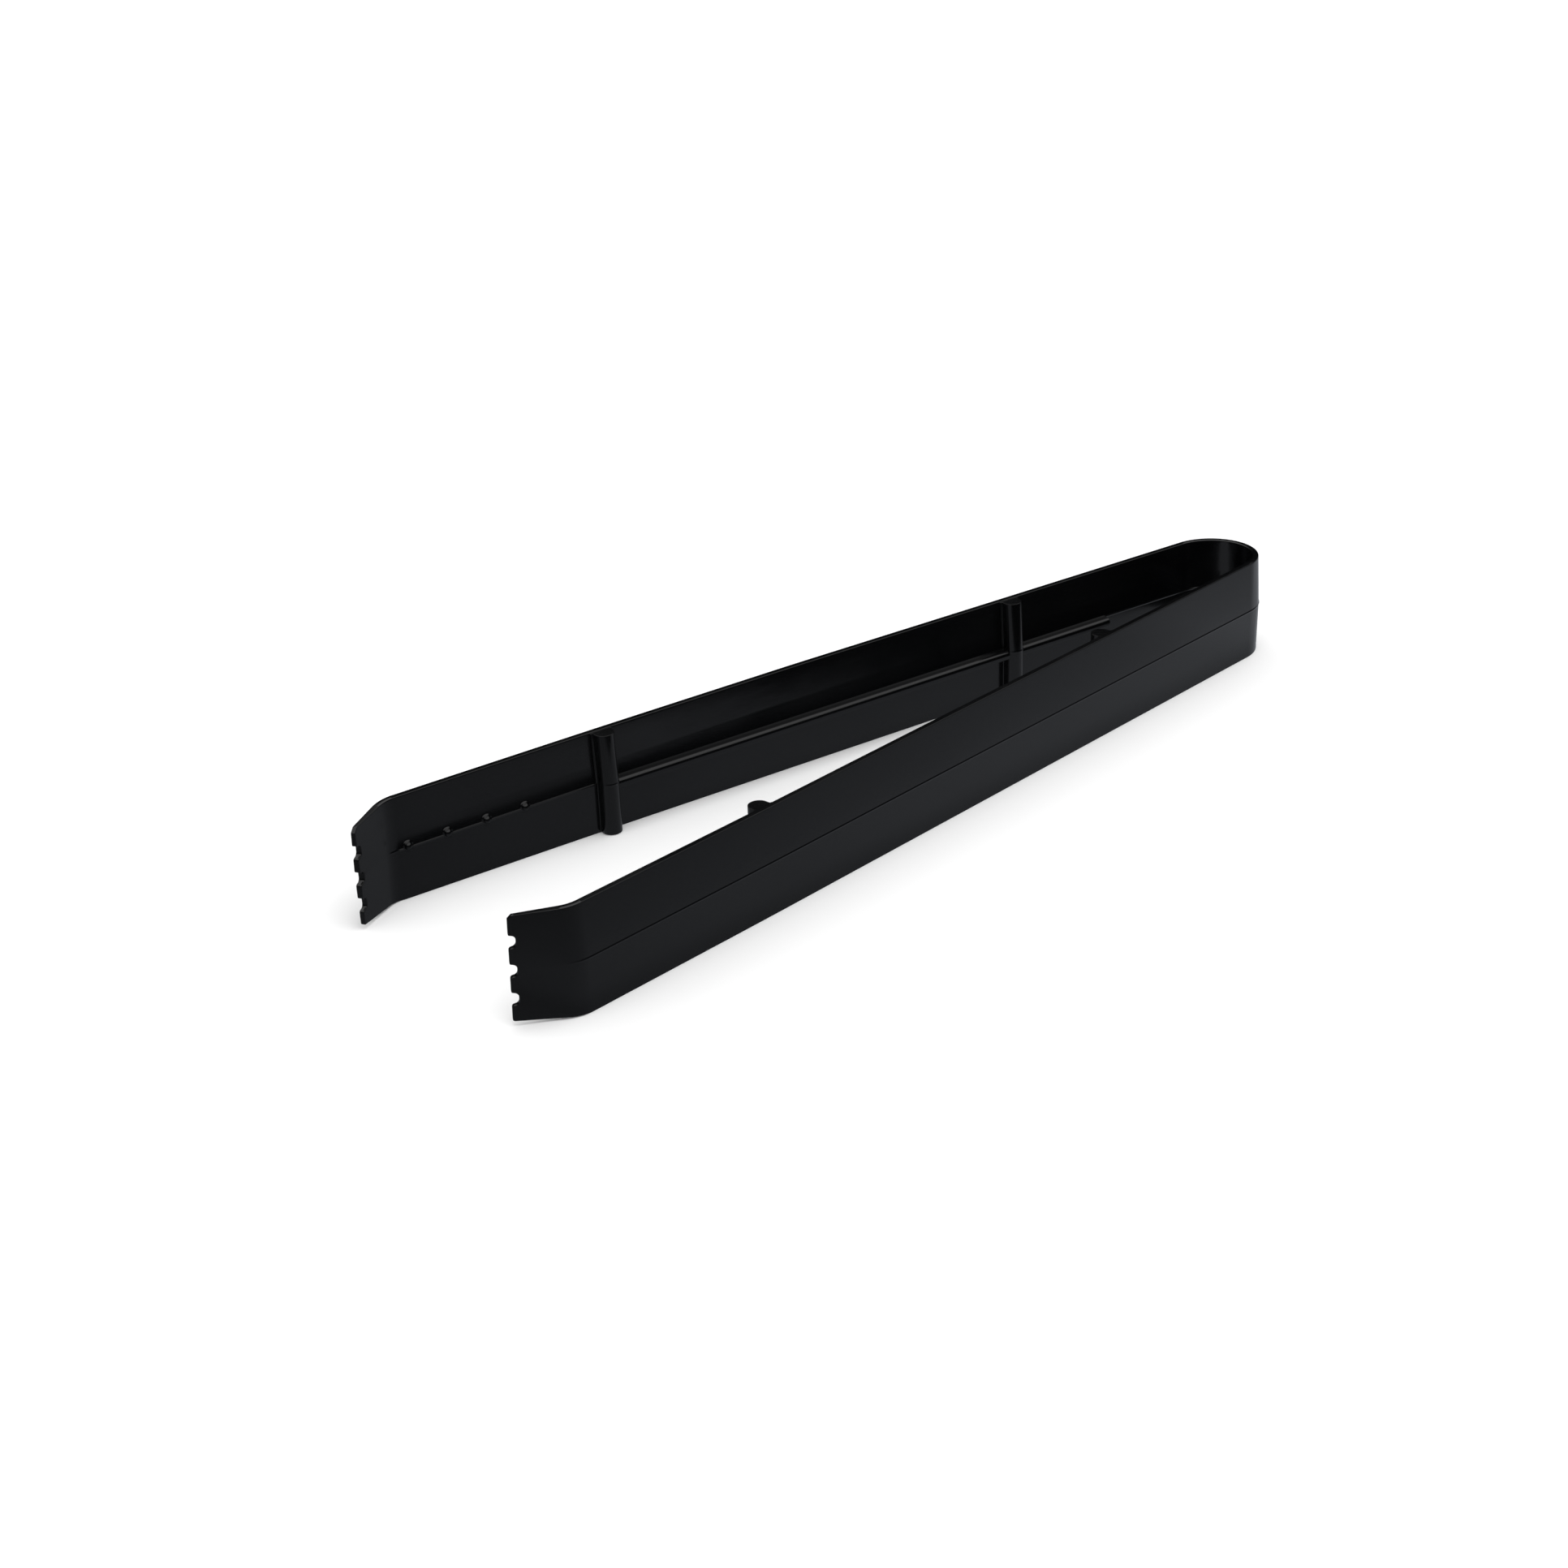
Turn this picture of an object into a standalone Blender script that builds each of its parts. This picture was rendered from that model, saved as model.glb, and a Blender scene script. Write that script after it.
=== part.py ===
"""Ice tongs moulded in one piece of black polystyrene, lying on their lower edges.

A U-shaped bow carries two drafted strips that spread in a V and end in inward-bent, toothed jaws.
+X points to the bow, +Y to the rear arm, +Z up. The origin is on the resting plane, midway along the tongs.
Each member of the moulding is its own closed solid, with a small gap to its neighbours, and the arms turn
on living hinges halfway round each quarter of the bow.
"""

import math

import bmesh
import bpy
from mathutils import Matrix, Vector

# Strip section, in metres
HEIGHT = 0.023
THICKNESS = 0.0024  # at mid-height, where the two mould halves meet
DRAFT = 0.00035  # how far each face falls back from mid-height to the strip's edges
GAP = 0.0003  # between members of the moulding

# Plan of one arm's outer face, from the crown of the bow to the tip of the jaw
BOW_RADIUS = 0.0111
SPREAD = math.radians(6.0)  # of each arm from the centre plane
BOW_QUARTER = math.pi / 2 - SPREAD
HINGE_ANGLE = math.radians(45.0)  # round the bow, where the arm's living hinge is taken
ARM_LENGTH = 0.2054  # from the bow to the start of the jaw's bend
SET_START = 0.1495
SET_LENGTH = 0.020
SET_ANGLE = math.radians(0.56)  # slight inward set past the jaw-side post
BEND_RADIUS = 0.0080
BEND_ANGLE = math.radians(36.5)
JAW_LENGTH = 0.0099  # straight part of the jaw, along its lower edge
OUTLINE = (
    (BOW_RADIUS * BOW_QUARTER, BOW_QUARTER),
    (SET_START, 0.0),
    (SET_LENGTH, SET_ANGLE),
    (ARM_LENGTH - SET_START - SET_LENGTH, 0.0),
    (BEND_RADIUS * BEND_ANGLE, BEND_ANGLE),
    (JAW_LENGTH, 0.0),
)

# Distances along the arm's outer face, from where it leaves the bow
HINGE_AT = -BOW_RADIUS * (BOW_QUARTER - HINGE_ANGLE)
BEND_END = ARM_LENGTH + BEND_RADIUS * BEND_ANGLE
JAW_SEAM = ARM_LENGTH + BEND_RADIUS * BEND_ANGLE / 2
TIP_AT = BEND_END + JAW_LENGTH

# Arms: the upper edge comes down a little over the last part, towards the jaw
SLOPE_START = 0.110
SLOPE_DROP = 0.0005

# Jaws: the plate thins and narrows towards its toothed end
TIP_THICKNESS = 0.0013
TIP_DROP_LOW = 0.0011  # off the bottom, at the tip
TIP_DROP_HIGH = 0.0006  # off the top, at the tip, on top of the arm's slope
TIP_LEAN = 0.0009  # how far the top of the toothed edge stands back from its bottom
NOTCH_CENTRES = (0.212, 0.483, 0.754)  # of the tip's height
NOTCH_WIDTH = 0.0027
NOTCH_DEPTH = 0.0014
NOTCH_ROUND = 0.0010
CORNER_CUT = 0.0016  # off the upper corner of the tip

# Posts: full-height, round-nosed posts on the inner faces; proud is from the mid-height face to the post's nose
POSTS = {
    "bow_side": {"at": 0.0522, "radius": 0.0021, "proud": 0.0031},
    "jaw_side": {"at": 0.1582, "radius": 0.0021, "proud": 0.0031},
}
POST_RECESS = 0.0002
POST_ROUND = 0.0004

# Ribs: a mid-height bar between the posts, with a tail past the bow-side post
RIB_PROUD = 0.0020
RIB_TOP = HEIGHT / 2 + 0.0002
RIB_HEIGHT = 0.0019
RIB_ROUND = 0.0009  # of the upper front edge
RIB_TAIL_AT = 0.0246

# Nubs: a row of low domes behind each jaw
NUB_COUNT = 4
NUB_FIRST_AT = 0.1773
NUB_PITCH = 0.0088
NUB_RADIUS = 0.00085
NUB_PROUD = 0.0011

SIDES = {"front": -1, "rear": 1}
PLASTIC_COLOUR = (0.012, 0.012, 0.014, 1.0)
PLASTIC_ROUGHNESS = 0.16


def outline_point(at):
    """Plan place of the outer face, from the bow's centre, and the angle of its outward normal from +X."""
    x, y, angle = BOW_RADIUS, 0.0, 0.0
    left = at + BOW_RADIUS * BOW_QUARTER
    for length, turn in OUTLINE:
        run = min(left, length)
        if turn:
            radius = length / turn
            after = angle + run / radius
            x += radius * (math.cos(after) - math.cos(angle))
            y += radius * (math.sin(after) - math.sin(angle))
            angle = after
        else:
            x -= run * math.sin(angle)
            y += run * math.cos(angle)
        left -= run
    return x, y, angle


BOW_X = -(BOW_RADIUS + outline_point(TIP_AT)[0]) / 2


def place(at, inward, z, side):
    """World point at a distance along an arm, a depth in from its outer face, and a height."""
    x, y, angle = outline_point(at)
    return Vector((BOW_X + x - inward * math.cos(angle), side * (y - inward * math.sin(angle)), z))


def taper(at):
    """0 along the arm, rising to 1 at the jaw's tip."""
    return max(0.0, (at - ARM_LENGTH) / (TIP_AT - ARM_LENGTH))


def edges(at):
    """Heights of the strip's lower and upper edges."""
    share = taper(at)
    slope = SLOPE_DROP * min(1.0, max(0.0, (at - SLOPE_START) / (ARM_LENGTH - SLOPE_START)))
    return TIP_DROP_LOW * share, HEIGHT - slope - TIP_DROP_HIGH * share


def strip_ring(at, side):
    """The strip's six-sided section: both faces are proudest at mid-height."""
    share = taper(at)
    thick = THICKNESS + (TIP_THICKNESS - THICKNESS) * share
    draft = DRAFT * thick / THICKNESS
    low, high = edges(at)
    middle = HEIGHT / 2
    section = (
        (0.0, middle),
        (draft, high),
        (thick - draft, high),
        (thick, middle),
        (thick - draft, low),
        (draft, low),
    )
    return [place(at, inward, z, side) for inward, z in section]


def clearance_ring(at, side):
    """The strip's section grown by the gap on its inner side and well past it elsewhere, for cutters."""
    beyond = 0.002
    section = (
        (-beyond, -beyond),
        (-beyond, HEIGHT + beyond),
        (THICKNESS - DRAFT + GAP, HEIGHT + beyond),
        (THICKNESS - DRAFT + GAP, HEIGHT),
        (THICKNESS + GAP, HEIGHT / 2),
        (THICKNESS - DRAFT + GAP, 0.0),
        (THICKNESS - DRAFT + GAP, -beyond),
    )
    return [place(at, inward, z, side) for inward, z in section]


def steps(start, end, count):
    return [start + (end - start) * i / count for i in range(count + 1)]


def in_collection(obj, collection):
    for old in list(obj.users_collection):
        old.objects.unlink(obj)
    collection.objects.link(obj)


def loft(name, rings, collection):
    """A closed solid through rings of equally many points."""
    bm = bmesh.new()
    loops = [[bm.verts.new(point) for point in ring] for ring in rings]
    for near, far in zip(loops, loops[1:]):
        for i in range(len(near)):
            j = (i + 1) % len(near)
            bm.faces.new((near[i], near[j], far[j], far[i]))
    bm.faces.new(loops[0])
    bm.faces.new(loops[-1])
    bmesh.ops.recalc_face_normals(bm, faces=bm.faces)
    mesh = bpy.data.meshes.new(name)
    bm.to_mesh(mesh)
    bm.free()
    obj = bpy.data.objects.new(name, mesh)
    collection.objects.link(obj)
    return obj


def plastic(name):
    material = bpy.data.materials.new(name + "_plastic")
    material.use_nodes = True
    shader = material.node_tree.nodes["Principled BSDF"]
    shader.inputs["Base Color"].default_value = PLASTIC_COLOUR
    shader.inputs["Roughness"].default_value = PLASTIC_ROUGHNESS
    shader.inputs["Metallic"].default_value = 0.0
    return material


def finish_part(obj, hinge=None):
    """Gives a part its material, smooth round faces and, on a moving part, its hinge as parent."""
    obj.data.materials.append(plastic(obj.name))
    obj.data.shade_smooth()
    obj.data.set_sharp_from_angle(angle=math.radians(35))
    if hinge:
        obj.parent = hinge
        obj.matrix_parent_inverse = Matrix.Translation(-hinge.location)


def make_cutter(obj, collection):
    in_collection(obj, collection)
    obj.hide_render = True
    obj.display_type = "WIRE"
    return obj


def cut(obj, cutter):
    modifier = obj.modifiers.new(cutter.name, "BOOLEAN")
    modifier.operation = "DIFFERENCE"
    modifier.solver = "EXACT"
    modifier.object = cutter


def round_edges(obj, width, segments=2):
    modifier = obj.modifiers.new("rounded", "BEVEL")
    modifier.width = width
    modifier.segments = segments
    modifier.limit_method = "ANGLE"


def box(name, size, location, angle=0.0):
    """A box turned about Z, its size applied to the mesh so that bevels keep their width."""
    bpy.ops.mesh.primitive_cube_add(size=1.0, location=location, rotation=(0.0, 0.0, angle))
    obj = bpy.context.object
    obj.name = name
    obj.data.transform(Matrix.Diagonal((*size, 1.0)))
    return obj


def face_angle(at, side):
    """Angle about Z that turns a box's X axis to the outward normal of an arm."""
    angle = outline_point(at)[2]
    return angle if side > 0 else -angle


def make_bow(parts):
    """The crown of the bow, from one living hinge round to the other."""
    crown = -BOW_RADIUS * BOW_QUARTER
    end = HINGE_AT - GAP / 2
    front = [strip_ring(at, -1) for at in steps(end, crown, 8)]
    rear = [strip_ring(at, 1) for at in steps(crown, end, 8)]
    return loft("spring_bow", front[:-1] + rear, parts)


def make_arm(arm, side, parts):
    """The strip from the living hinge to the middle of the jaw's bend."""
    stations = steps(HINGE_AT + GAP / 2, 0.0, 6)
    stations += [SLOPE_START] + steps(SET_START, SET_START + SET_LENGTH, 2)
    stations += steps(ARM_LENGTH, JAW_SEAM - GAP / 2, 3)
    return loft(arm + "_arm", [strip_ring(at, side) for at in stations], parts)


def tip_lean(z):
    """How far the toothed edge stands back at a height."""
    return TIP_LEAN * z / HEIGHT


def make_jaw(arm, side, parts, cutters):
    """The bent end plate, with three rounded notches that leave four teeth."""
    stations = steps(JAW_SEAM + GAP / 2, BEND_END, 3) + steps(BEND_END, TIP_AT, 2)[1:]
    rings = [strip_ring(at, side) for at in stations]
    low, high = edges(TIP_AT)
    jawward = (rings[-1][0] - rings[-2][0]).normalized()
    for corner in rings[-1]:
        corner -= jawward * tip_lean(corner.z)
    jaw = loft(arm + "_jaw", rings, parts)
    angle = face_angle(TIP_AT, side)
    past = 0.006  # how far the cutters run past the plate
    for number, share in enumerate(NOTCH_CENTRES, 1):
        z = low + (high - low) * share
        middle = place(TIP_AT, TIP_THICKNESS / 2, z, side)
        middle += jawward * (past / 2 - NOTCH_DEPTH - tip_lean(z))
        slot = box(f"{arm}_notch_{number}_cutter", (2 * past, past, NOTCH_WIDTH), middle, angle)
        round_edges(slot, NOTCH_ROUND, 3)
        cut(jaw, make_cutter(slot, cutters))
    corner_size = CORNER_CUT * math.sqrt(2)
    where = place(TIP_AT, TIP_THICKNESS / 2, high, side) - jawward * tip_lean(high)
    corner = box(arm + "_corner_cutter", (2 * past, corner_size, corner_size), where, angle)
    corner.rotation_euler = (Matrix.Rotation(angle, 3, "Z") @ Matrix.Rotation(math.pi / 4, 3, "X")).to_euler()
    cut(jaw, make_cutter(corner, cutters))
    return jaw


def make_post(arm, side, spot, size, clearance, parts):
    """A round-nosed post with straight flanks, standing out of the strip's inner face."""
    at, radius = size["at"], size["radius"]
    axis_depth = THICKNESS + size["proud"] - radius
    root = THICKNESS - 2 * DRAFT
    outline = [(at - radius, root)]
    outline += [(at - radius * math.cos(a), axis_depth + radius * math.sin(a)) for a in steps(0.0, math.pi, 12)]
    outline.append((at + radius, root))
    low, high = POST_RECESS, edges(at)[1] - POST_RECESS
    rings = [[place(along, inward, z, side) for along, inward in outline] for z in (low, high)]
    post = loft(f"{arm}_post_{spot}", rings, parts)
    round_edges(post, POST_ROUND)
    cut(post, clearance)
    return post


def make_rib(name, start, end, side, parts):
    """A bar along the middle of the strip's inner face, its upper front edge rounded."""
    back, front = THICKNESS + GAP, THICKNESS + RIB_PROUD
    section = [(back, RIB_TOP - RIB_HEIGHT), (back, RIB_TOP)]
    for turn in steps(0.0, math.pi / 2, 5):
        inward = front - RIB_ROUND * (1.0 - math.sin(turn))
        section.append((inward, RIB_TOP - RIB_ROUND * (1.0 - math.cos(turn))))
    section.append((front, RIB_TOP - RIB_HEIGHT))
    return loft(name, [[place(at, inward, z, side) for inward, z in section] for at in (start, end)], parts)


def make_nub(arm, side, number, parts):
    """A low dome, turned from a quarter ellipse, on the middle of the inner face."""
    at = NUB_FIRST_AT + NUB_PITCH * (number - 1)
    height = NUB_PROUD - GAP
    outline = [(NUB_RADIUS * math.sin(a), height * math.cos(a)) for a in steps(0.0, math.pi / 2, 5)]
    outline.append((0.0, 0.0))
    mesh = bpy.data.meshes.new(f"{arm}_nub_{number}")
    bm = bmesh.new()
    points = [bm.verts.new((x, 0.0, z)) for x, z in outline]
    for near, far in zip(points, points[1:]):
        bm.edges.new((near, far))
    bm.to_mesh(mesh)
    bm.free()
    nub = bpy.data.objects.new(mesh.name, mesh)
    parts.objects.link(nub)
    turn = nub.modifiers.new("turned", "SCREW")
    turn.steps = turn.render_steps = 16
    turn.use_merge_vertices = True
    turn.merge_threshold = 0.00001
    nub.location = place(at, THICKNESS + GAP, HEIGHT / 2, side)
    inward = face_angle(at, side) + math.pi
    nub.rotation_euler = (0.0, math.pi / 2, inward)
    return nub


def make_side(arm, side, parts, cutters):
    """One arm with everything that is moulded onto it."""
    bpy.ops.object.empty_add(location=place(HINGE_AT, THICKNESS / 2, 0.0, side))
    hinge = bpy.context.object
    hinge.name = arm + "_hinge"
    in_collection(hinge, parts)
    finish_part(make_arm(arm, side, parts), hinge)
    finish_part(make_jaw(arm, side, parts, cutters), hinge)
    stations = [0.0, SET_START, SET_START + SET_LENGTH / 2, SET_START + SET_LENGTH]
    clearance = loft(arm + "_clearance", [clearance_ring(at, side) for at in stations], cutters)
    make_cutter(clearance, cutters)
    for spot, size in POSTS.items():
        finish_part(make_post(arm, side, spot, size, clearance, parts), hinge)
    bow_post, jaw_post = POSTS["bow_side"], POSTS["jaw_side"]
    before = bow_post["at"] - bow_post["radius"] - GAP
    after = bow_post["at"] + bow_post["radius"] + GAP
    rib_end = jaw_post["at"] - jaw_post["radius"] - GAP
    finish_part(make_rib(arm + "_rib", after, rib_end, side, parts), hinge)
    finish_part(make_rib(arm + "_rib_tail", RIB_TAIL_AT, before, side, parts), hinge)
    for number in range(1, NUB_COUNT + 1):
        finish_part(make_nub(arm, side, number, parts), hinge)


def main():
    for obj in list(bpy.data.objects):
        bpy.data.objects.remove(obj)
    parts = bpy.data.collections.new("ice_tongs")
    cutters = bpy.data.collections.new("cutters")
    for collection in (parts, cutters):
        bpy.context.scene.collection.children.link(collection)
    finish_part(make_bow(parts))
    for arm, side in SIDES.items():
        make_side(arm, side, parts, cutters)


main()
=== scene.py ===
"""Looks of the one-piece ice tongs: a glossy black moulding on a plain pale floor under soft studio light.

Every shape but the nubs starts as a slab: a flat outline with rounded corners, given a depth and rounded
rims, sliced into cells and then bent onto the tongs. The coordinates along an arm are: at, the distance along
the outer face from where the arm leaves the bow; inward, the depth in from that face; and z, the height
above the floor. Front shapes have side -1 and rear shapes have side 1.
"""

import math

import bmesh
import bpy
from mathutils import Matrix, Vector


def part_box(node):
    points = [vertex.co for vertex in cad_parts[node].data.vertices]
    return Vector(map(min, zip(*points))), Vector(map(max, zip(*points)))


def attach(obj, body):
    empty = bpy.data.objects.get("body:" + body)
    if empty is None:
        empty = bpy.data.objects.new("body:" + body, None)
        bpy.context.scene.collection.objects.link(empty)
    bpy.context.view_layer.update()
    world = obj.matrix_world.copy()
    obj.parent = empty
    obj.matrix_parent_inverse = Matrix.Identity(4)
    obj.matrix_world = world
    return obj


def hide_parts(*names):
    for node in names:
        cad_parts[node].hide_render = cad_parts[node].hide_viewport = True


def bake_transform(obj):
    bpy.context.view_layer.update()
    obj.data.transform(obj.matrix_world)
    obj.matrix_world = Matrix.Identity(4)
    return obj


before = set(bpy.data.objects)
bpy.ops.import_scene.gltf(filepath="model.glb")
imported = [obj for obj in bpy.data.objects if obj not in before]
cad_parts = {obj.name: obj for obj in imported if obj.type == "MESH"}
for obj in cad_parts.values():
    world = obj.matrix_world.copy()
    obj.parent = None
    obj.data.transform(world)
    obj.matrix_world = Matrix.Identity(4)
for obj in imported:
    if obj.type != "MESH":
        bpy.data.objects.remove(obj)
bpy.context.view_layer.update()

MM = 0.001

# Sizes read from the frame
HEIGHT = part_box("spring_bow")[1].z
BOW_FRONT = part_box("spring_bow")[1].x

# Strip section and plan, as in the CAD model
THICKNESS = 2.4 * MM
DRAFT = 0.35 * MM
BOW_RADIUS = 11.1 * MM
SPREAD = math.radians(6.0)
BOW_QUARTER = math.pi / 2 - SPREAD
ARM_LENGTH = 205.4 * MM
SET_START = 149.5 * MM
SET_LENGTH = 20.0 * MM
SET_ANGLE = math.radians(0.56)
BEND_RADIUS = 8.0 * MM
BEND_ANGLE = math.radians(36.5)
JAW_LENGTH = 9.9 * MM
OUTLINE = (
    (BOW_RADIUS * BOW_QUARTER, BOW_QUARTER),
    (SET_START, 0.0),
    (SET_LENGTH, SET_ANGLE),
    (ARM_LENGTH - SET_START - SET_LENGTH, 0.0),
    (BEND_RADIUS * BEND_ANGLE, BEND_ANGLE),
    (JAW_LENGTH, 0.0),
)
CROWN_AT = -BOW_RADIUS * BOW_QUARTER
BEND_END = ARM_LENGTH + BEND_RADIUS * BEND_ANGLE
TIP_AT = BEND_END + JAW_LENGTH
MIDDLE = HEIGHT / 2
EDGE_ROUND = 0.38 * MM
SPARE = 3.0 * MM  # modelled past the crown, then trimmed off with a flat face

# Inner faces curve back just above mid-height, and then straighten towards the upper edge
INNER_CURVE = 0.65 * MM
INNER_CURVE_POWER = 4
INNER_CURVE_FADE = 3.0  # fades out over this fraction (1 in 3) of the way from the bend's start to the tip

# Parting line: a low ridge of flash where the mould halves meet, which fades out round the jaw's bend
RIDGE = 0.11 * MM
RIDGE_WIDTH = 0.26 * MM

# Arms' upper edges come down a little towards the jaws
SLOPE_START = 110.0 * MM
SLOPE_DROP = {"front": 0.3 * MM, "rear": 0.8 * MM}

# Jaws: each thins and narrows towards its toothed edge, which leans back and has a cut upper corner
TIP_THICKNESS = 1.3 * MM
TIP_DROP_LOW = 1.1 * MM
TIP_DROP_HIGH = {"front": 0.3 * MM, "rear": 0.8 * MM}
TIP_LEAN = 0.9 * MM
NOTCH_CENTRES = (0.212, 0.483, 0.754)  # of the edge's height
NOTCH_MOUTH = 3.0 * MM
NOTCH_BOTTOM = 2.4 * MM
NOTCH_DEPTH = 1.4 * MM
NOTCH_ROUND = 0.95 * MM
TOOTH_ROUND_LOWER = 0.35 * MM
TOOTH_ROUND_UPPER = 0.60 * MM
LOWER_CORNER_ROUND = 0.45 * MM
UPPER_CORNER_CUT = {"front": 0.8 * MM, "rear": 1.0 * MM}

# Posts, ribs and nubs on the inner faces
POSTS = {
    "bow_side": {"at": 52.2 * MM, "radius": 2.1 * MM, "proud": 3.1 * MM},
    "jaw_side": {"at": 158.2 * MM, "radius": 2.1 * MM, "proud": 3.1 * MM},
}
POST_RECESS = 0.15 * MM
POST_ROUND = 0.55 * MM
ROOT_FILLET = 0.20 * MM
FOOT_MARGIN = 0.2 * MM  # a post's section, past its fillets
SKIRT = 0.012 * MM  # how far a fillet's outer edge sinks below the wall's face
ROOTED = 0.6 * MM  # how deep ribs, posts and nubs run into the wall
RIB_PROUD = 2.0 * MM
RIB_TOP = 0.2 * MM  # above mid-height
RIB_HEIGHT = 1.9 * MM
RIB_ROUND = 1.10 * MM  # of the upper front edge
RIB_LOWER_ROUND = 0.12 * MM
RIB_END_ROUND = 0.1 * MM
RIB_TAIL_AT = 24.6 * MM
NUB_COUNT = 4
NUB_FIRST_AT = 177.3 * MM
NUB_PITCH = 8.8 * MM
NUB_RADIUS = 0.85 * MM
NUB_PROUD = 0.90 * MM
NUB_ARC = math.pi / 2.3  # of the dome, from its top to its fillet
NUB_FILLET = ((0.08 * MM, 0.06 * MM), (0.35 * MM, -SKIRT))  # (past the radius, proud of the wall)

SIDES = {"front": -1, "rear": 1}

# Camera
CAMERA_AZIMUTH = math.radians(-38.95)
CAMERA_ELEVATION = math.radians(25.55)
CAMERA_ROLL = math.radians(-3.24)
CAMERA_TARGET = Vector((-0.02673, 0.00089, 0.00920))
CAMERA_DISTANCE = 0.52706
CAMERA_LENS = 59.20
CAMERA_SENSOR = 36.0

# Light: a white sky and a broad lamp. Glossy reflections see another sky, which is dark up to one height of
# the reflected direction (the Z of a unit vector) and white from another.
SKY_STRENGTH = 1.0
SKY_DARK = 0.004
SKY_DARK_UP_TO = 0.50
SKY_WHITE_FROM = 0.64
LAMP_ENERGY = 1.3
LAMP_ANGLE = math.radians(60.0)
LAMP_TURN = (math.radians(18.0), math.radians(12.0), 0.0)

# Floor, and the painted reflection that glossy rays see instead of it: a cool grey glow on the floor, with
# light and shade painted in. Its brightness changes from jaws to bow, as painted light that is brighter
# towards the bow, and from between the arms outward past their outer faces, as painted shade between the
# arms, a painted contact shadow at the foot of each outer face, and painted light just beyond it that fades
# further out. Each list holds (place, level) stops, with places as shares of a length centred on the tongs or
# of a width centred on the outer faces.
FLOOR_SIZE = 8.0
FLOOR_TONE = (0.88, 0.88, 0.88, 1.0)
PAINTED_REFLECTION_LENGTH = 300.0 * MM
PAINTED_REFLECTION_WIDTH = 120.0 * MM
# Painted light along the tongs: the reflected floor gets brighter towards the bow
PAINTED_REFLECTION_ALONG = ((0.0, 0.15), (0.25, 0.26), (0.5, 0.34), (0.7, 0.37), (0.83, 0.41), (0.9, 0.52))
# Painted shade and light across: darker between the arms and in a painted contact shadow at the outer faces'
# foot
PAINTED_REFLECTION_ACROSS = ((0.0, 0.75), (0.45, 0.85), (0.505, 0.7), (0.55, 0.95), (0.62, 1.0), (0.68, 0.80), (1.0, 0.5))
PAINTED_REFLECTION_TINT = (0.96, 1.0, 1.08)
NEUTRAL = (1.0, 1.0, 1.0)
EVEN = (1.0, 1.0, 1.0)  # no stretch

# Black plastic
PLASTIC_IOR = 1.50
TINT_DARK = (0.0011, 0.0012, 0.0014, 1.0)
TINT_LIGHT = (0.0019, 0.0021, 0.0024, 1.0)
TINT_SCUFFED = (0.0045, 0.0048, 0.0052, 1.0)
ALONG_STRIP = (0.25, 1.0, 1.0)  # stretches noise along the tongs


def steps(start, end, count):
    return [start + (end - start) * i / count for i in range(count + 1)]


def outline_point(at):
    """Plan place of the outer face, from the bow's centre, and the angle of its outward normal from +X."""
    x, y, angle = BOW_RADIUS, 0.0, 0.0
    left = at - CROWN_AT
    for length, turn in OUTLINE:
        run = min(left, length)
        if turn:
            radius = length / turn
            after = angle + run / radius
            x += radius * (math.cos(after) - math.cos(angle))
            y += radius * (math.sin(after) - math.sin(angle))
            angle = after
        else:
            x -= run * math.sin(angle)
            y += run * math.cos(angle)
        left -= run
    return x, y, angle


BOW_X = BOW_FRONT - BOW_RADIUS


def place(at, inward, z, side):
    """World point at a distance along an arm, a depth in from its outer face, and a height."""
    x, y, angle = outline_point(at)
    return Vector((BOW_X + x - inward * math.cos(angle), side * (y - inward * math.sin(angle)), z))


def taper(at):
    """0 along the arm, rising to 1 at the jaw's tip."""
    return max(0.0, (at - ARM_LENGTH) / (TIP_AT - ARM_LENGTH))


def draft_at(z):
    """How far a face falls back at a height, being proudest at mid-height."""
    return DRAFT * abs(z - MIDDLE) / MIDDLE


def rounded(corners, arc_points=5):
    """Outline points through (x, y, radius) corners, each turned by an arc of its radius."""
    points = []
    for i, (x, y, radius) in enumerate(corners):
        here = Vector((x, y))
        before = Vector(corners[i - 1][:2]) - here
        after = Vector(corners[(i + 1) % len(corners)][:2]) - here
        if radius == 0.0:
            points.append(here)
            continue
        half = before.angle(after) / 2
        reach = radius / math.tan(half)
        centre = here + (before.normalized() + after.normalized()).normalized() * radius / math.sin(half)
        start = here + before.normalized() * reach - centre
        end = here + after.normalized() * reach - centre
        sweep = start.angle_signed(end)
        for share in steps(0.0, 1.0, arc_points):
            turned = start.copy()
            turned.rotate(Matrix.Rotation(-sweep * share, 2))
            points.append(centre + turned)
    return points


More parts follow.
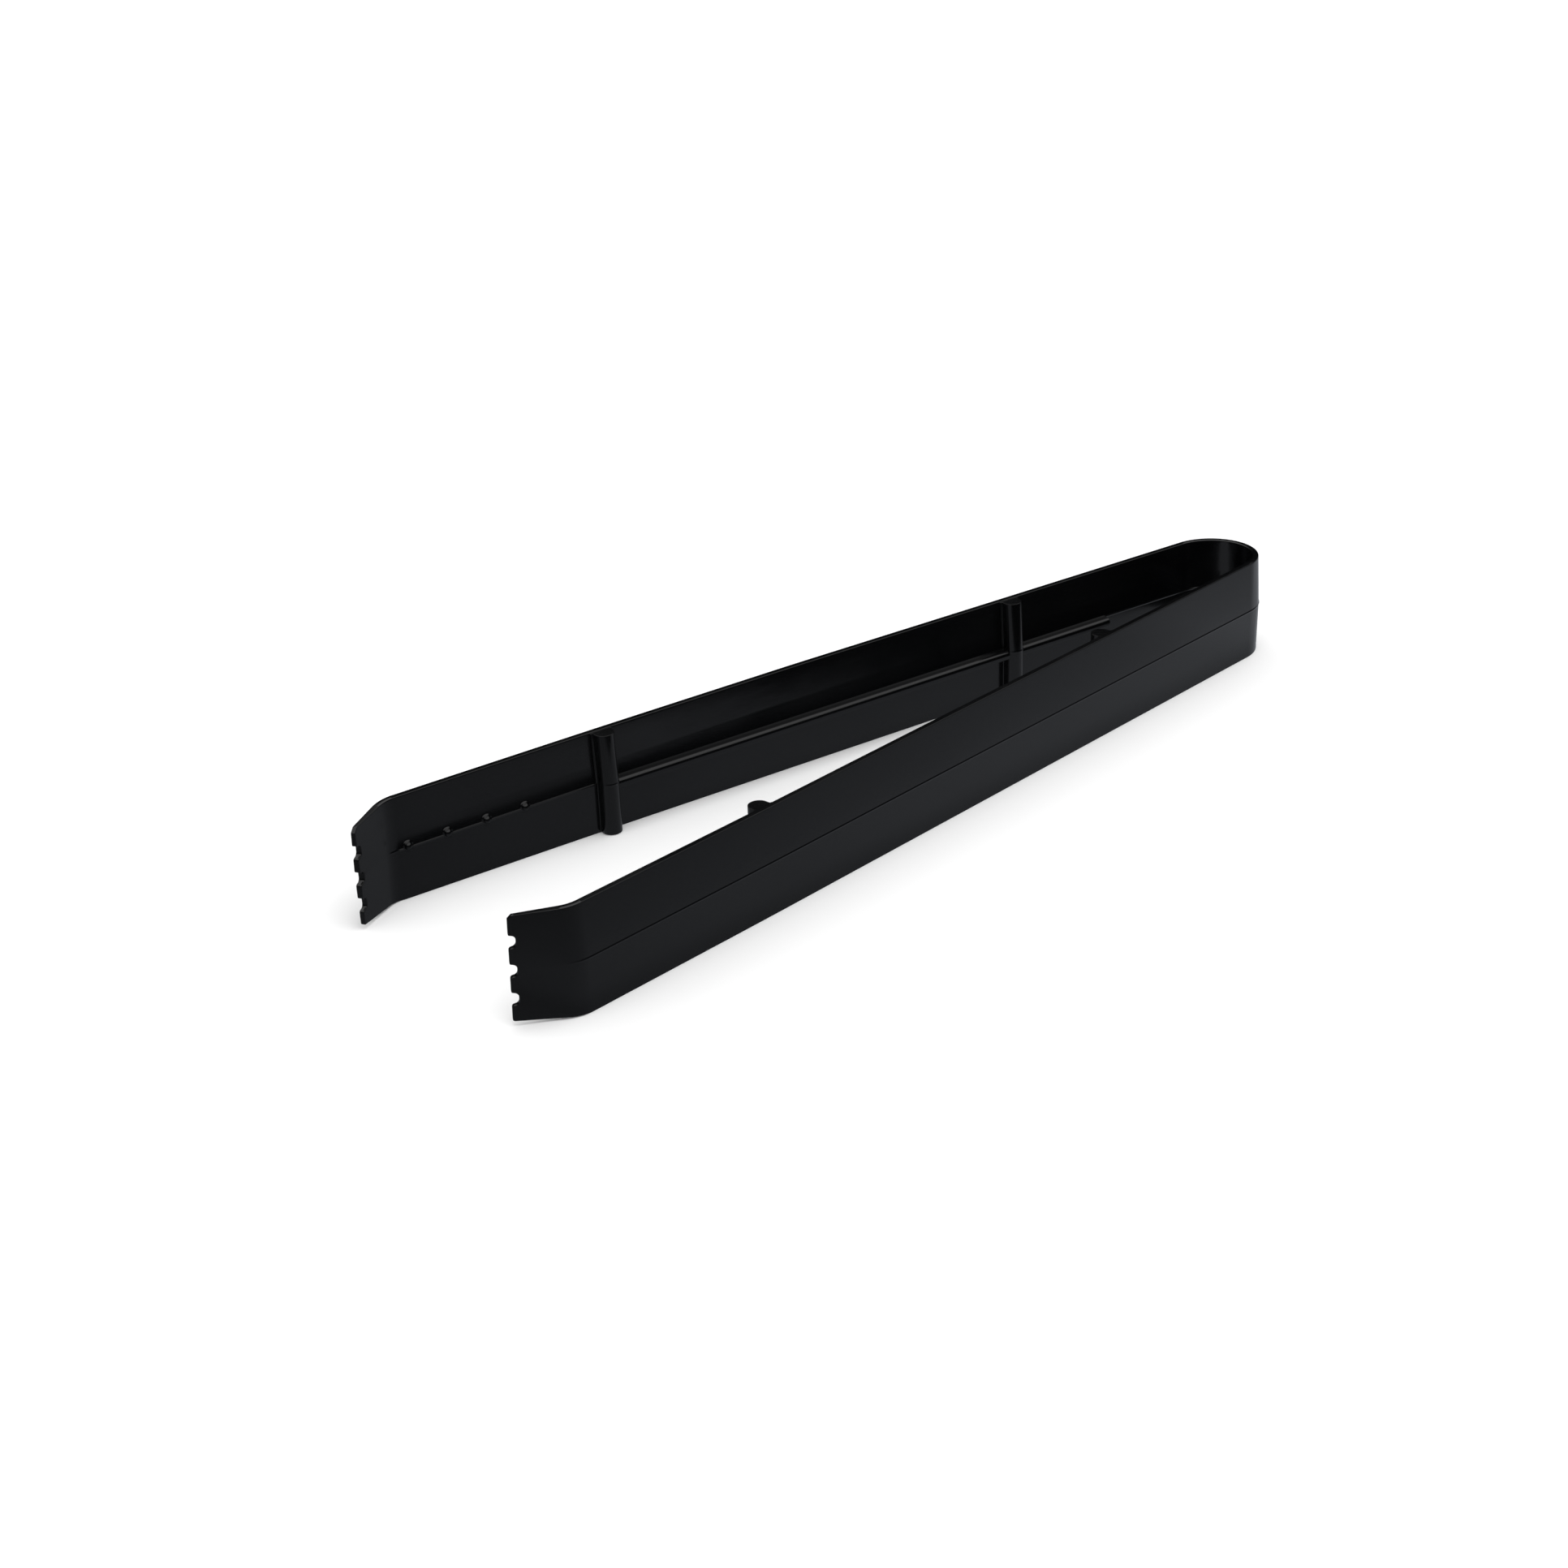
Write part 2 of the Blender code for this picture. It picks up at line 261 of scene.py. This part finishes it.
def slab(name, outline, start, end, rim_round, cuts, bend, trim=None):
    """A closed mesh: the outline extruded from start to end, rims rounded, sliced at cuts, then bent.

    cuts maps an axis number to the places where the slab is sliced across that axis.
    bend turns a slab point into its place on the tongs.
    trim is (axis, place): the slab ends there with a flat, sharp-edged face.
    """
    bm = bmesh.new()
    base = bm.faces.new([bm.verts.new((x, y, start)) for x, y in outline])
    top = bmesh.ops.extrude_face_region(bm, geom=[base])["geom"]
    moved = [v for v in top if isinstance(v, bmesh.types.BMVert)]
    bmesh.ops.translate(bm, verts=moved, vec=(0.0, 0.0, end - start))
    bmesh.ops.recalc_face_normals(bm, faces=bm.faces)
    if rim_round:
        rims = [e for e in bm.edges if abs(e.verts[0].co.z - e.verts[1].co.z) < 1e-9]
        bmesh.ops.bevel(
            bm,
            geom=rims,
            offset=rim_round,
            segments=5,
            profile=0.5,
            affect="EDGES",
            clamp_overlap=True,
        )
    for axis, places in cuts.items():
        for at in places:
            point, normal = Vector(), Vector()
            point[axis], normal[axis] = at, 1.0
            whole = bm.verts[:] + bm.edges[:] + bm.faces[:]
            bmesh.ops.bisect_plane(bm, geom=whole, dist=1e-7, plane_co=point, plane_no=normal)
    if trim:
        axis, at = trim
        point, normal = Vector(), Vector()
        point[axis], normal[axis] = at, -1.0
        whole = bm.verts[:] + bm.edges[:] + bm.faces[:]
        bmesh.ops.bisect_plane(bm, geom=whole, dist=1e-7, plane_co=point, plane_no=normal, clear_outer=True)
        flat_end = [e for e in bm.edges if e.is_boundary]
        bmesh.ops.holes_fill(bm, edges=flat_end)
        for edge in flat_end:
            edge.smooth = False
    for vert in bm.verts:
        vert.co = bend(vert.co)
    for face in bm.faces:
        face.smooth = True
    bmesh.ops.recalc_face_normals(bm, faces=bm.faces)
    mesh = bpy.data.meshes.new(name)
    bm.to_mesh(mesh)
    bm.free()
    obj = bpy.data.objects.new(name, mesh)
    bpy.context.scene.collection.objects.link(obj)
    even = obj.modifiers.new("even_normals", "WEIGHTED_NORMAL")
    even.mode = "FACE_AREA"
    even.weight = 100
    even.keep_sharp = True
    return obj


def edges(arm, at):
    """Heights of an arm's lower and upper edges."""
    share = taper(at)
    slope = SLOPE_DROP[arm] * min(1.0, max(0.0, (at - SLOPE_START) / (ARM_LENGTH - SLOPE_START)))
    return TIP_DROP_LOW * share, HEIGHT - slope - TIP_DROP_HIGH[arm] * share


def strip_outline(arm):
    """The flattened strip, (distance, height), with the jaw's teeth along its far end."""
    cut = UPPER_CORNER_CUT[arm]
    corners = [(CROWN_AT - SPARE, 0.0, 0.0), (TIP_AT, 0.0, LOWER_CORNER_ROUND)]
    for share in NOTCH_CENTRES:
        z = HEIGHT * share
        corners += [
            (TIP_AT, z - NOTCH_MOUTH / 2, TOOTH_ROUND_UPPER),
            (TIP_AT - NOTCH_DEPTH, z - NOTCH_BOTTOM / 2, NOTCH_ROUND),
            (TIP_AT - NOTCH_DEPTH, z + NOTCH_BOTTOM / 2, NOTCH_ROUND),
            (TIP_AT, z + NOTCH_MOUTH / 2, TOOTH_ROUND_LOWER),
        ]
    corners += [
        (TIP_AT, HEIGHT - cut, cut / 4),
        (TIP_AT - cut, HEIGHT, cut / 4),
        (CROWN_AT - SPARE, HEIGHT, 0.0),
    ]
    return rounded(corners)


def ridge_at(at, z):
    """Height of the parting line's flash at a place on a face."""
    across = min(1.0, abs(z - MIDDLE) / RIDGE_WIDTH)
    fade = min(1.0, max(0.0, (BEND_END - at) / (BEND_END - ARM_LENGTH)))
    return RIDGE * fade * (1.0 - across)


def inner_draft_at(at, z):
    """How far the inner face falls back: as the outer face does, but curved above mid-height."""
    above = z - MIDDLE
    if above <= 0.0:
        return draft_at(z)
    curved = INNER_CURVE * (1.0 - (1.0 - above / MIDDLE) ** INNER_CURVE_POWER)
    fade = max(0.0, 1.0 - INNER_CURVE_FADE * taper(at))
    return curved * fade + draft_at(z) * (1.0 - fade)


def strip_bend(arm, side):
    """Turns a point of the flat strip, (distance, height, depth), into its place on the moulding."""

    def bend(co):
        at, z, inward = co
        share = taper(at)
        thick = THICKNESS + (TIP_THICKNESS - THICKNESS) * share
        depth = inward / THICKNESS
        ridge = ridge_at(at, z) if depth < 0.01 or depth > 0.99 else 0.0
        outer = draft_at(z) * thick / THICKNESS - ridge
        inner = thick - inner_draft_at(at, z) * thick / THICKNESS + ridge
        low, high = edges(arm, at)
        lean = TIP_LEAN * share * z / HEIGHT
        return place(at - lean, outer + (inner - outer) * depth, low + (high - low) * z / HEIGHT, side)

    return bend


def make_strip(arm, side):
    """Half the moulding, from the crown of the bow to the teeth: half the bow, an arm and its jaw."""
    along = steps(CROWN_AT, 0.0, 56)[1:]
    along += steps(0.0, SET_START, 25)[1:]
    along += steps(SET_START, SET_START + SET_LENGTH, 6)[1:]
    along += steps(SET_START + SET_LENGTH, ARM_LENGTH, 6)[1:]
    along += steps(ARM_LENGTH, BEND_END, 20)[1:]
    along += steps(BEND_END, TIP_AT - NOTCH_DEPTH, 6)[1:]
    beside_rim = EDGE_ROUND + 0.25 * MM  # keeps the faces flat up to the rims
    up = [beside_rim, HEIGHT - beside_rim] + steps(3 * MM, HEIGHT - 3 * MM, 4)
    up += [MIDDLE + RIDGE_WIDTH * share for share in (-1.15, -1.0, -0.85, -0.15, 0.15, 0.85, 1.0, 1.15)]
    up += [MIDDLE + rise * MM for rise in (0.5, 0.9, 1.4, 2.0, 2.8, 3.8, 6.4)]  # for the inner curve
    return slab(
        arm + "_half",
        strip_outline(arm),
        0.0,
        THICKNESS,
        EDGE_ROUND,
        {0: along, 1: up},
        strip_bend(arm, side),
        trim=(0, CROWN_AT),
    )


def make_rib(name, side, start, end):
    """A rib along the inner face, just below mid-height, with a broad rounding on its upper front edge."""
    face, front = THICKNESS, THICKNESS + RIB_PROUD
    top = MIDDLE + RIB_TOP
    bottom = top - RIB_HEIGHT
    section = [
        (face - ROOTED, bottom, 0.0),
        (front, bottom, RIB_LOWER_ROUND),
        (front, top, RIB_ROUND),
        (face + ROOT_FILLET, top, 0.0),
        (face - SKIRT, top + ROOT_FILLET, 0.0),
        (face - ROOTED, top + ROOT_FILLET, 0.0),
    ]

    def bend(co):
        inward, z, at = co
        return place(at, inward - draft_at(z), z, side)

    cuts = {2: steps(start, end, 12)[1:-1]}
    return slab(name, rounded(section, 9), start, end, RIB_END_ROUND, cuts, bend)


def make_post(arm, side, spot, size):
    """A round-nosed post with straight flanks, filleted into the inner face."""
    face, at, radius = THICKNESS, size["at"], size["radius"]
    front = face + size["proud"]
    skirt = face - SKIRT
    foot = radius + ROOT_FILLET + FOOT_MARGIN
    nose = radius * 0.999  # a hair under, so that the nose's two arcs stay apart
    section = [
        (at - foot, face - ROOTED, 0.0),
        (at - foot, skirt, 0.0),
        (at - radius, skirt, ROOT_FILLET),
        (at - radius, front, nose),
        (at + radius, front, nose),
        (at + radius, skirt, ROOT_FILLET),
        (at + foot, skirt, 0.0),
        (at + foot, face - ROOTED, 0.0),
    ]

    def bend(co):
        where, inward, z = co
        ridge = ridge_at(at, z) if inward > front - radius else 0.0
        return place(where, inward - draft_at(z) + ridge, z, side)

    ridge = [MIDDLE + RIDGE_WIDTH * share for share in (-1.0, -0.5, 0.0, 0.5, 1.0)]
    low, high = POST_RECESS, edges(arm, at)[1] - POST_RECESS
    cuts = {2: steps(low + 2 * MM, high - 2 * MM, 4) + ridge}
    return slab(f"{arm}_post_{spot}_moulded", rounded(section, 12), low, high, POST_ROUND, cuts, bend)


def make_nub(arm, side, number):
    """A low dome on the inner face, turned about its own axis."""
    at = NUB_FIRST_AT + NUB_PITCH * (number - 1)
    profile = [(NUB_RADIUS * math.sin(a), NUB_PROUD * math.cos(a)) for a in steps(0.0, NUB_ARC, 8)]
    profile += [(NUB_RADIUS + past, proud) for past, proud in NUB_FILLET]
    profile += [(profile[-1][0], -ROOTED), (0.0, -ROOTED)]
    mesh = bpy.data.meshes.new(f"{arm}_nub_{number}_moulded")
    bm = bmesh.new()
    points = [bm.verts.new((x, 0.0, z)) for x, z in profile]
    for near, far in zip(points, points[1:]):
        bm.edges.new((near, far))
    bmesh.ops.spin(
        bm,
        geom=bm.verts[:] + bm.edges[:],
        cent=(0.0, 0.0, 0.0),
        axis=(0.0, 0.0, 1.0),
        angle=2 * math.pi,
        steps=24,
        use_duplicate=False,
    )
    bmesh.ops.remove_doubles(bm, verts=bm.verts, dist=1e-7)
    bmesh.ops.recalc_face_normals(bm, faces=bm.faces)
    bm.to_mesh(mesh)
    bm.free()
    mesh.shade_smooth()
    nub = bpy.data.objects.new(mesh.name, mesh)
    bpy.context.scene.collection.objects.link(nub)
    angle = outline_point(at)[2]
    nub.location = place(at, THICKNESS, MIDDLE, side)
    nub.rotation_euler = (0.0, math.pi / 2, side * angle + math.pi)
    return nub


def math_node(tree, operation, *values):
    """A Math node's result, from numbers and other nodes' outputs."""
    node = tree.nodes.new("ShaderNodeMath")
    node.operation = operation
    for socket, value in zip(node.inputs, values):
        if isinstance(value, float):
            socket.default_value = value
        else:
            tree.links.new(value, socket)
    return node.outputs["Value"]


def noise(tree, scale, detail, stretch=EVEN):
    """Noise fixed to the object, with larger features along the axes where stretch is below 1."""
    where = tree.nodes.new("ShaderNodeTexCoord")
    mapping = tree.nodes.new("ShaderNodeMapping")
    mapping.inputs["Scale"].default_value = stretch
    texture = tree.nodes.new("ShaderNodeTexNoise")
    texture.inputs["Scale"].default_value = scale
    texture.inputs["Detail"].default_value = detail
    tree.links.new(where.outputs["Object"], mapping.inputs["Vector"])
    tree.links.new(mapping.outputs["Vector"], texture.inputs["Vector"])
    return texture.outputs["Fac"]


def remap(tree, value, low, high, start=0.35, end=0.65):
    """The value, taken from the range start to end onto the range low to high."""
    mapped = tree.nodes.new("ShaderNodeMapRange")
    mapped.inputs["From Min"].default_value = start
    mapped.inputs["From Max"].default_value = end
    mapped.inputs["To Min"].default_value = low
    mapped.inputs["To Max"].default_value = high
    tree.links.new(value, mapped.inputs["Value"])
    return mapped.outputs["Result"]


def bump(tree, height, strength, distance):
    node = tree.nodes.new("ShaderNodeBump")
    node.inputs["Strength"].default_value = strength
    node.inputs["Distance"].default_value = distance
    tree.links.new(height, node.inputs["Height"])
    return node


def colour_mix(tree, factor, blend_type="MIX"):
    """A colour Mix node; a factor that is None is left full."""
    node = tree.nodes.new("ShaderNodeMix")
    node.data_type = "RGBA"
    node.blend_type = blend_type
    if factor is None:
        node.inputs["Factor"].default_value = 1.0
    else:
        tree.links.new(factor, node.inputs["Factor"])
    return node


def edge_wear(tree):
    """1 on scuffed patches of convex edges, and 0 elsewhere."""
    shape = tree.nodes.new("ShaderNodeNewGeometry")
    convex = remap(tree, shape.outputs["Pointiness"], 0.0, 1.0, 0.55, 0.66)
    patches = remap(tree, noise(tree, 260.0, 4.0), 0.0, 1.0, 0.52, 0.66)
    return math_node(tree, "MULTIPLY", convex, patches)


def black_plastic():
    """Glossy black polystyrene: fine orange peel, flow marks along the strip, smears, and scuffed edges."""
    material = bpy.data.materials.new("black_plastic")
    material.use_nodes = True
    tree = material.node_tree
    shader = tree.nodes["Principled BSDF"]
    shader.inputs["IOR"].default_value = PLASTIC_IOR
    shader.inputs["Metallic"].default_value = 0.0
    worn = edge_wear(tree)

    tint = colour_mix(tree, remap(tree, noise(tree, 60.0, 3.0, ALONG_STRIP), 0.0, 1.0))
    tint.inputs["A"].default_value = TINT_DARK
    tint.inputs["B"].default_value = TINT_LIGHT
    scuffed = colour_mix(tree, worn)
    scuffed.inputs["B"].default_value = TINT_SCUFFED
    tree.links.new(tint.outputs["Result"], scuffed.inputs["A"])
    tree.links.new(scuffed.outputs["Result"], shader.inputs["Base Color"])

    smears = remap(tree, noise(tree, 45.0, 4.0), 0.12, 0.20)
    scuffs = remap(tree, worn, 0.0, 0.26, 0.0, 1.0)
    tree.links.new(math_node(tree, "MAXIMUM", smears, scuffs), shader.inputs["Roughness"])

    peel = bump(tree, noise(tree, 420.0, 2.0, (0.5, 1.0, 1.0)), 0.25, 0.04 * MM)
    flow = bump(tree, noise(tree, 55.0, 2.0, (0.22, 1.0, 1.0)), 0.35, 0.12 * MM)
    tree.links.new(peel.outputs["Normal"], flow.inputs["Normal"])
    tree.links.new(flow.outputs["Normal"], shader.inputs["Normal"])
    return material


def finish_piece(obj, body, material, *nodes):
    """Gives a piece its finish, sets it on its body and hides the CAD nodes that it stands for."""
    obj.data.materials.append(material)
    if body:
        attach(obj, body)
    if nodes:
        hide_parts(*nodes)


def make_tongs():
    material = black_plastic()
    for arm, side in SIDES.items():
        body = arm + "_arm"
        half = make_strip(arm, side)
        finish_piece(half, None, material, "spring_bow", arm + "_arm", arm + "_jaw")
        start = place(CROWN_AT + 1.5 * MM, THICKNESS / 2, 0.0, side)
        end = place(1.0 * MM, THICKNESS / 2, 0.0, side)
        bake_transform(half)
        bow_post, jaw_post = POSTS["bow_side"]["at"], POSTS["jaw_side"]["at"]
        finish_piece(make_rib(arm + "_rib_moulded", side, bow_post, jaw_post), body, material, arm + "_rib")
        tail = make_rib(arm + "_rib_tail_moulded", side, RIB_TAIL_AT, bow_post)
        finish_piece(tail, body, material, arm + "_rib_tail")
        for spot, size in POSTS.items():
            finish_piece(make_post(arm, side, spot, size), body, material, f"{arm}_post_{spot}")
        for number in range(1, NUB_COUNT + 1):
            finish_piece(make_nub(arm, side, number), body, material, f"{arm}_nub_{number}")


def make_camera():
    """The viewing angle: from the jaw end, a little to the front, looking down by about 26 degrees."""
    azimuth, elevation = CAMERA_AZIMUTH, CAMERA_ELEVATION
    back = Vector(
        (
            math.sin(azimuth) * math.cos(elevation),
            -math.cos(azimuth) * math.cos(elevation),
            math.sin(elevation),
        )
    )
    right = Vector((math.cos(azimuth), math.sin(azimuth), 0.0))
    up = back.cross(right)
    turn = Matrix((right, up, back)).transposed() @ Matrix.Rotation(CAMERA_ROLL, 3, "Z")
    camera = bpy.data.objects.new("camera", bpy.data.cameras.new("camera"))
    camera.data.sensor_width = CAMERA_SENSOR
    camera.data.lens = CAMERA_LENS
    camera.data.clip_start = 0.01
    camera.matrix_world = Matrix.Translation(CAMERA_TARGET + back * CAMERA_DISTANCE) @ turn.to_4x4()
    bpy.context.scene.collection.objects.link(camera)
    bpy.context.scene.camera = camera


def graded(tree, value, tint, stops):
    """A tinted Color Ramp's result, from (place, level) stops."""
    ramp = tree.nodes.new("ShaderNodeValToRGB")
    elements = ramp.color_ramp.elements
    elements[0].position = stops[0][0]
    elements[1].position = stops[-1][0]
    for position, _ in stops[1:-1]:
        elements.new(position)
    for element, (_, level) in zip(elements, stops):
        element.color = (*(level * channel for channel in tint), 1.0)
    tree.links.new(value, ramp.inputs["Fac"])
    return ramp.outputs["Color"]


def unlike_in_gloss(tree, plain, reflected, output):
    """Joins two shaders to the output: the reflected one for glossy rays, and the plain one for others."""
    path = tree.nodes.new("ShaderNodeLightPath")
    choose = tree.nodes.new("ShaderNodeMixShader")
    tree.links.new(path.outputs["Is Glossy Ray"], choose.inputs["Fac"])
    tree.links.new(plain, choose.inputs[1])
    tree.links.new(reflected, choose.inputs[2])
    tree.links.new(choose.outputs["Shader"], output.inputs["Surface"])


def painted_reflection_colour(tree):
    """The painted reflection's colour at a place on the floor: painted light brighter towards the bow, and
    painted shade between the arms and at the foot of the outer faces.
    """
    geometry = tree.nodes.new("ShaderNodeNewGeometry")
    split = tree.nodes.new("ShaderNodeSeparateXYZ")
    tree.links.new(geometry.outputs["Position"], split.inputs["Vector"])
    along = math_node(tree, "MULTIPLY_ADD", split.outputs["X"], 1.0 / PAINTED_REFLECTION_LENGTH, 0.5)
    spread = math.tan(SPREAD)
    arm_line = math_node(tree, "MULTIPLY_ADD", split.outputs["X"], spread, -BOW_RADIUS - BOW_X * spread)
    beside = math_node(tree, "ADD", math_node(tree, "ABSOLUTE", split.outputs["Y"]), arm_line)
    across = math_node(tree, "MULTIPLY_ADD", beside, 1.0 / PAINTED_REFLECTION_WIDTH, 0.5)
    painted_reflection = colour_mix(tree, None, "MULTIPLY")
    tree.links.new(graded(tree, along, PAINTED_REFLECTION_TINT, PAINTED_REFLECTION_ALONG), painted_reflection.inputs["A"])
    tree.links.new(graded(tree, across, NEUTRAL, PAINTED_REFLECTION_ACROSS), painted_reflection.inputs["B"])
    return painted_reflection.outputs["Result"]


def floor_material():
    """A pale floor, which glossy reflections see as a graded glow of painted light and shade."""
    material = bpy.data.materials.new("pale_floor")
    material.use_nodes = True
    tree = material.node_tree
    shader = tree.nodes["Principled BSDF"]
    shader.inputs["Base Color"].default_value = FLOOR_TONE
    shader.inputs["Roughness"].default_value = 0.9
    shader.inputs["Specular IOR Level"].default_value = 0.0
    # Glossy rays see this glow: a painted reflection of the lit and shaded floor, not the floor's own colour
    painted_reflection_glow = tree.nodes.new("ShaderNodeEmission")
    tree.links.new(painted_reflection_colour(tree), painted_reflection_glow.inputs["Color"])
    unlike_in_gloss(tree, shader.outputs["BSDF"], painted_reflection_glow.outputs["Emission"], tree.nodes["Material Output"])
    return material


def make_floor():
    bm = bmesh.new()
    bmesh.ops.create_grid(bm, x_segments=1, y_segments=1, size=FLOOR_SIZE)
    mesh = bpy.data.meshes.new("floor")
    bm.to_mesh(mesh)
    bm.free()
    floor = bpy.data.objects.new("floor", mesh)
    bpy.context.scene.collection.objects.link(floor)
    mesh.materials.append(floor_material())


def make_sky():
    """Dark round the horizon and softly bright overhead in reflections, and even white for all else."""
    world = bpy.context.scene.world or bpy.data.worlds.new("studio")
    bpy.context.scene.world = world
    world.use_nodes = True
    tree = world.node_tree
    background = tree.nodes["Background"]
    background.inputs["Color"].default_value = (1.0, 1.0, 1.0, 1.0)
    background.inputs["Strength"].default_value = SKY_STRENGTH
    where = tree.nodes.new("ShaderNodeTexCoord")
    split = tree.nodes.new("ShaderNodeSeparateXYZ")
    tree.links.new(where.outputs["Generated"], split.inputs["Vector"])
    stops = ((SKY_DARK_UP_TO, SKY_DARK), (SKY_WHITE_FROM, 1.0))
    reflected = tree.nodes.new("ShaderNodeBackground")
    tree.links.new(graded(tree, split.outputs["Z"], NEUTRAL, stops), reflected.inputs["Color"])
    plain = background.outputs["Background"]
    unlike_in_gloss(tree, plain, reflected.outputs["Background"], tree.nodes["World Output"])


def make_light():
    """A very broad lamp overhead, out of reflections, under a white sky."""
    make_sky()
    lamp = bpy.data.lights.new("overhead", "SUN")
    lamp.energy = LAMP_ENERGY
    lamp.angle = LAMP_ANGLE
    key = bpy.data.objects.new("overhead", lamp)
    key.rotation_euler = LAMP_TURN
    key.visible_glossy = False
    bpy.context.scene.collection.objects.link(key)
    bpy.context.scene.view_settings.view_transform = "Standard"


make_camera()
make_floor()
make_light()
make_tongs()
